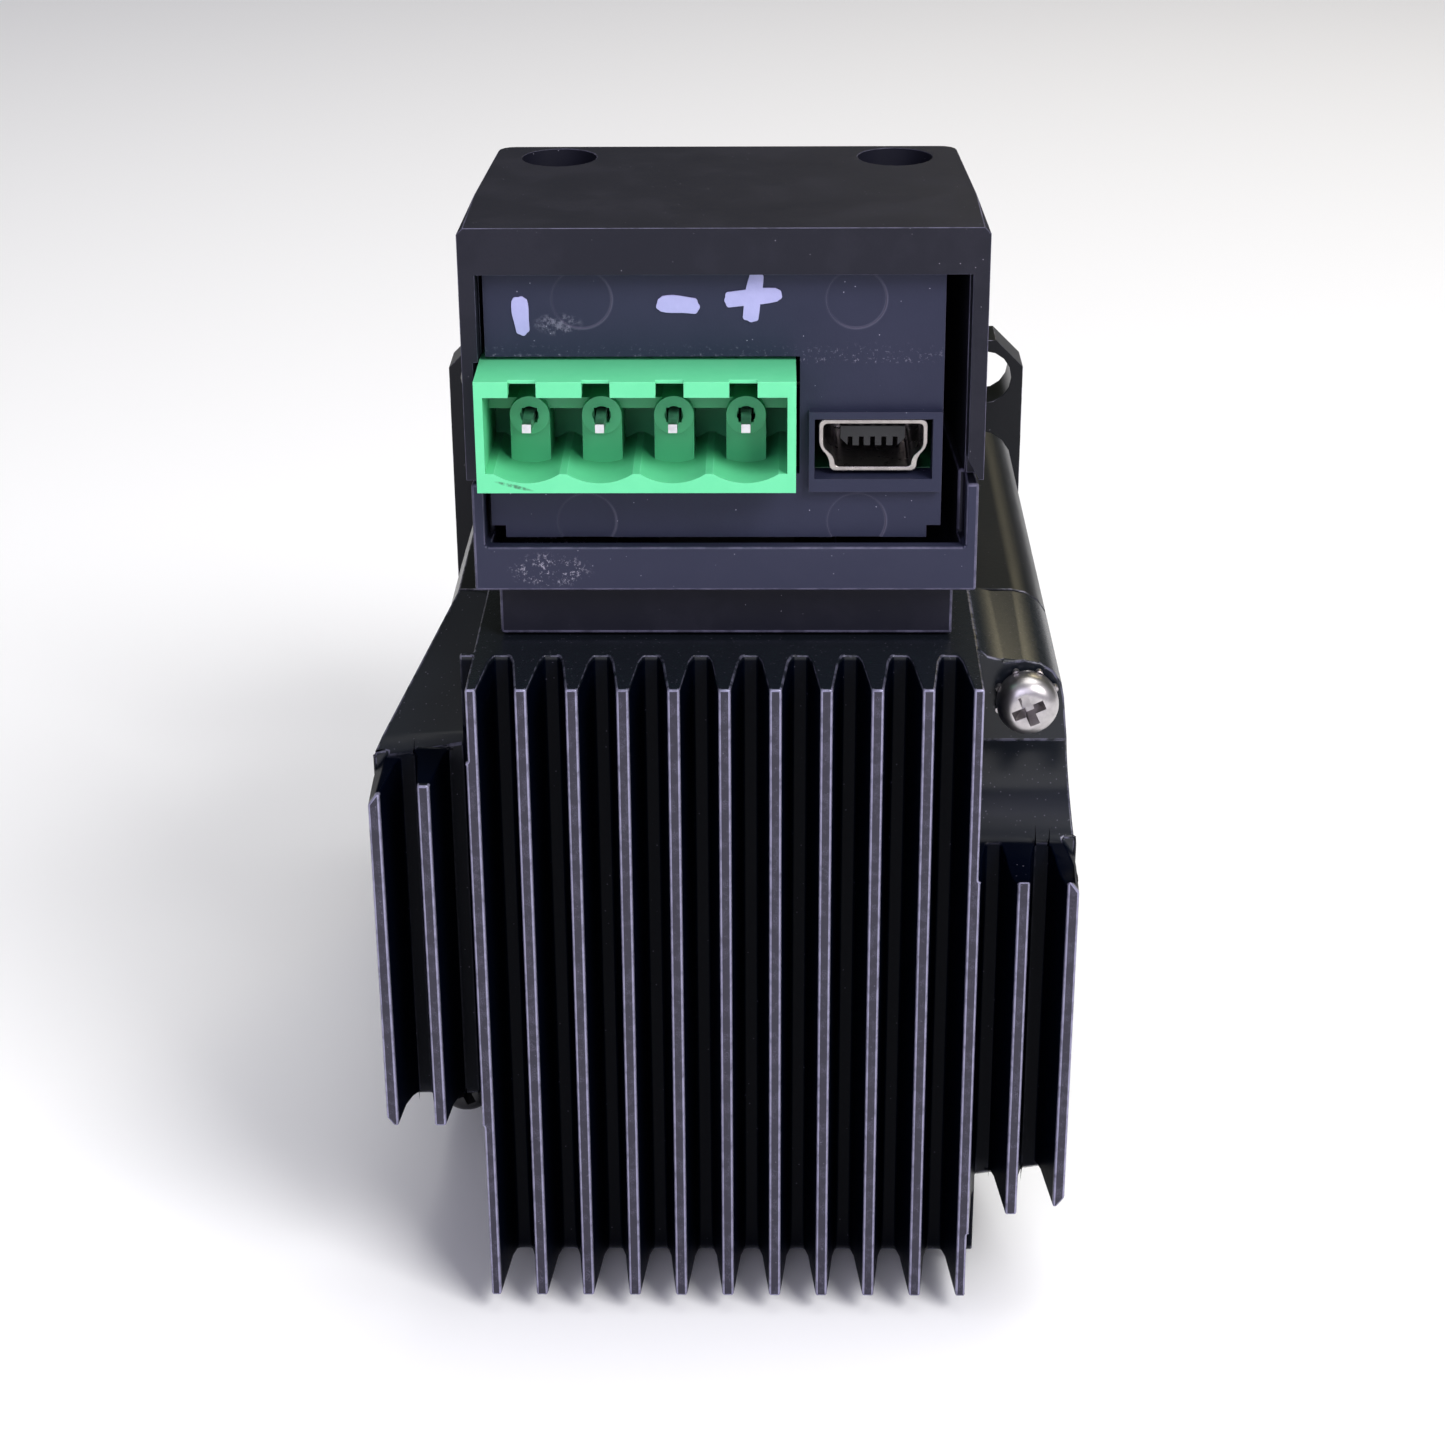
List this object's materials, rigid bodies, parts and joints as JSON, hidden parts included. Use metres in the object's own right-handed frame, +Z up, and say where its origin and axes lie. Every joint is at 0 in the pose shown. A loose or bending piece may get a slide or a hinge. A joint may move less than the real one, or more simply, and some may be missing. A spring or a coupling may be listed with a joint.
{
  "type": "integrated motor and drive",
  "caption": "Flanged brushless motor with its drive in a finned rear housing, a connector box on top with a pluggable power header and a small USB socket, and a turning shaft.",
  "frame": {"origin": "middle of the base of the bounding box, under the shaft axis", "axes": "+Y along the shaft towards its free end, +Z up towards the connector box"},
  "size_m": [0.0544, 0.104, 0.084],
  "materials": {
    "cast_black": "black anodised die casting, satin, worn bright along the fin edges",
    "body_black": "black painted metal, satin",
    "box_plastic": "black moulded plastic with a fine matte grain",
    "plate_plastic": "black moulded plastic, scuffed",
    "terminal_green": "light green moulded plastic",
    "tin_pin": "bright tin plate",
    "usb_nickel": "nickel plate",
    "nickel": "nickel-plated steel",
    "screw_steel": "zinc-plated steel",
    "screw_black": "black oxide",
    "machined_steel": "ground steel",
    "lamination": "stacked electrical steel",
    "copper_winding": "enamelled copper wire",
    "magnet_grey": "coated magnet",
    "circuit_board": "green solder mask",
    "chip_black": "black moulding compound",
    "canister": "drawn aluminium can",
    "thermal_pad": "soft silicone pad",
    "wire_insulation": "silicone insulation"
  },
  "bodies": {
    "root": {"heat_sink_housing": "cast_black", "motor_body": "body_black", "front_end_bell": "body_black", "housing_screw_1": "nickel", "housing_screw_2": "nickel", "star_washer_1": "nickel", "star_washer_2": "nickel", "end_bell_screw_1": "screw_steel", "end_bell_screw_2": "screw_steel", "end_bell_screw_3": "screw_steel", "end_bell_screw_4": "screw_steel", "rear_bearing_plate": "machined_steel", "stator_core": "lamination", "stator_windings": "copper_winding", "rear_bearing_outer_ring": "machined_steel", "front_bearing_outer_ring": "machined_steel", "wave_spring": "machined_steel", "thermal_pad": "thermal_pad", "power_transistor_1": "chip_black", "power_transistor_2": "chip_black", "power_transistor_3": "chip_black", "power_transistor_4": "chip_black", "power_transistor_5": "chip_black", "power_transistor_6": "chip_black", "power_board": "circuit_board", "board_screw_1": "screw_steel", "board_screw_2": "screw_steel", "bus_capacitor_1": "canister", "bus_capacitor_2": "canister", "control_board": "circuit_board", "encoder_sensor": "chip_black", "phase_lead_1": "wire_insulation", "phase_lead_2": "wire_insulation", "phase_lead_3": "wire_insulation", "board_link_cable": "chip_black", "connector_box_base": "box_plastic", "connector_hood": "box_plastic", "hood_screw_1": "screw_black", "hood_screw_2": "screw_black", "connector_face_plate": "plate_plastic", "connector_board": "circuit_board", "terminal_header": "terminal_green", "header_pin_1": "tin_pin", "header_pin_2": "tin_pin", "header_pin_3": "tin_pin", "header_pin_4": "tin_pin", "usb_shell": "usb_nickel", "usb_tongue": "chip_black"},
    "rotor": {"shaft": "machined_steel", "rotor_core": "lamination", "ring_magnet": "magnet_grey", "encoder_magnet": "magnet_grey", "rear_bearing_inner_ring": "machined_steel", "front_bearing_inner_ring": "machined_steel"},
    "ball_cages": {"rear_bearing_balls": "machined_steel", "front_bearing_balls": "machined_steel"}
  },
  "joints": [
    {"name": "shaft_spin", "type": "hinge", "parent": "root", "child": "rotor", "pos_m": [0, 0, 0.0272], "axis": [0, 1, 0], "continuous": true},
    {"name": "cage_spin", "type": "hinge", "parent": "root", "child": "ball_cages", "pos_m": [0, 0, 0.0272], "axis": [0, 1, 0], "continuous": true}
  ],
  "couplings": [
    {"joint": "cage_spin", "follows": "shaft_spin", "ratio": 0.4}
  ]
}
